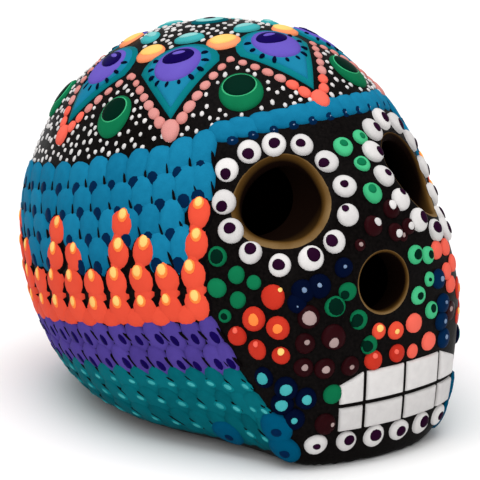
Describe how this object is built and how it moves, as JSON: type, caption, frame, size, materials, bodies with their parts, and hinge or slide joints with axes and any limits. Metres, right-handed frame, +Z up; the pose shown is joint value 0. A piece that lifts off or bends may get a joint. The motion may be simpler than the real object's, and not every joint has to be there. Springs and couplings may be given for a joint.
{
  "type": "painted clay skull",
  "caption": "Hollow painted clay skull ornament with open eye sockets and nose, raised bead rings, teeth tiles, scale bands and a petal rosette on the crown; stands on a flat base.",
  "frame": {"origin": "centre of the footprint, on the plane of the flat base", "axes": "+Z up, -Y the way the face looks, +Y to the back of the head, +X to the skull's own left"},
  "size_m": [0.0876, 0.1161, 0.0899],
  "materials": {
    "black_ground": "fired clay painted black and varnished",
    "raw_clay": "bare fired clay, matt",
    "white_paint": "raised acrylic paint, satin gloss",
    "blue_paint": "raised acrylic paint, satin gloss",
    "orange_paint": "raised acrylic paint, satin gloss",
    "violet_paint": "raised acrylic paint, satin gloss",
    "teal_paint": "raised acrylic paint, satin gloss",
    "green_paint": "raised acrylic paint, satin gloss"
  },
  "bodies": {
    "root": {"face_shell": "black_ground", "cranium_shell": "black_ground", "seam_coil": "raw_clay", "right_eye_bead_1": "white_paint", "right_eye_bead_2": "white_paint", "right_eye_bead_3": "white_paint", "right_eye_bead_4": "white_paint", "right_eye_bead_5": "white_paint", "right_eye_bead_6": "white_paint", "right_eye_bead_7": "white_paint", "right_eye_bead_8": "white_paint", "right_eye_bead_9": "white_paint", "right_eye_bead_10": "white_paint", "right_eye_bead_11": "white_paint", "right_eye_bead_12": "white_paint", "right_eye_bead_13": "white_paint", "left_eye_bead_1": "white_paint", "left_eye_bead_2": "white_paint", "left_eye_bead_3": "white_paint", "left_eye_bead_4": "white_paint", "left_eye_bead_5": "white_paint", "left_eye_bead_6": "white_paint", "left_eye_bead_7": "white_paint", "left_eye_bead_8": "white_paint", "left_eye_bead_9": "white_paint", "left_eye_bead_10": "white_paint", "left_eye_bead_11": "white_paint", "left_eye_bead_12": "white_paint", "left_eye_bead_13": "white_paint", "chin_bead_1": "white_paint", "chin_bead_2": "white_paint", "chin_bead_3": "white_paint", "chin_bead_4": "white_paint", "chin_bead_5": "white_paint", "chin_bead_6": "white_paint", "tooth_upper_1": "white_paint", "tooth_upper_2": "white_paint", "tooth_upper_3": "white_paint", "tooth_upper_4": "white_paint", "tooth_lower_1": "white_paint", "tooth_lower_2": "white_paint", "tooth_lower_3": "white_paint", "tooth_lower_4": "white_paint", "blue_scale_band": "blue_paint", "orange_flame_band": "orange_paint", "violet_scale_band": "violet_paint", "teal_scale_band": "teal_paint", "crown_button": "teal_paint", "crown_petal_1": "teal_paint", "crown_petal_2": "teal_paint", "crown_petal_3": "teal_paint", "crown_petal_4": "teal_paint", "crown_petal_5": "teal_paint", "crown_petal_6": "teal_paint", "crown_leaf_1": "green_paint", "crown_leaf_2": "green_paint", "crown_leaf_3": "green_paint", "crown_leaf_4": "green_paint", "crown_leaf_5": "green_paint", "crown_leaf_6": "green_paint"}
  },
  "joints": []
}
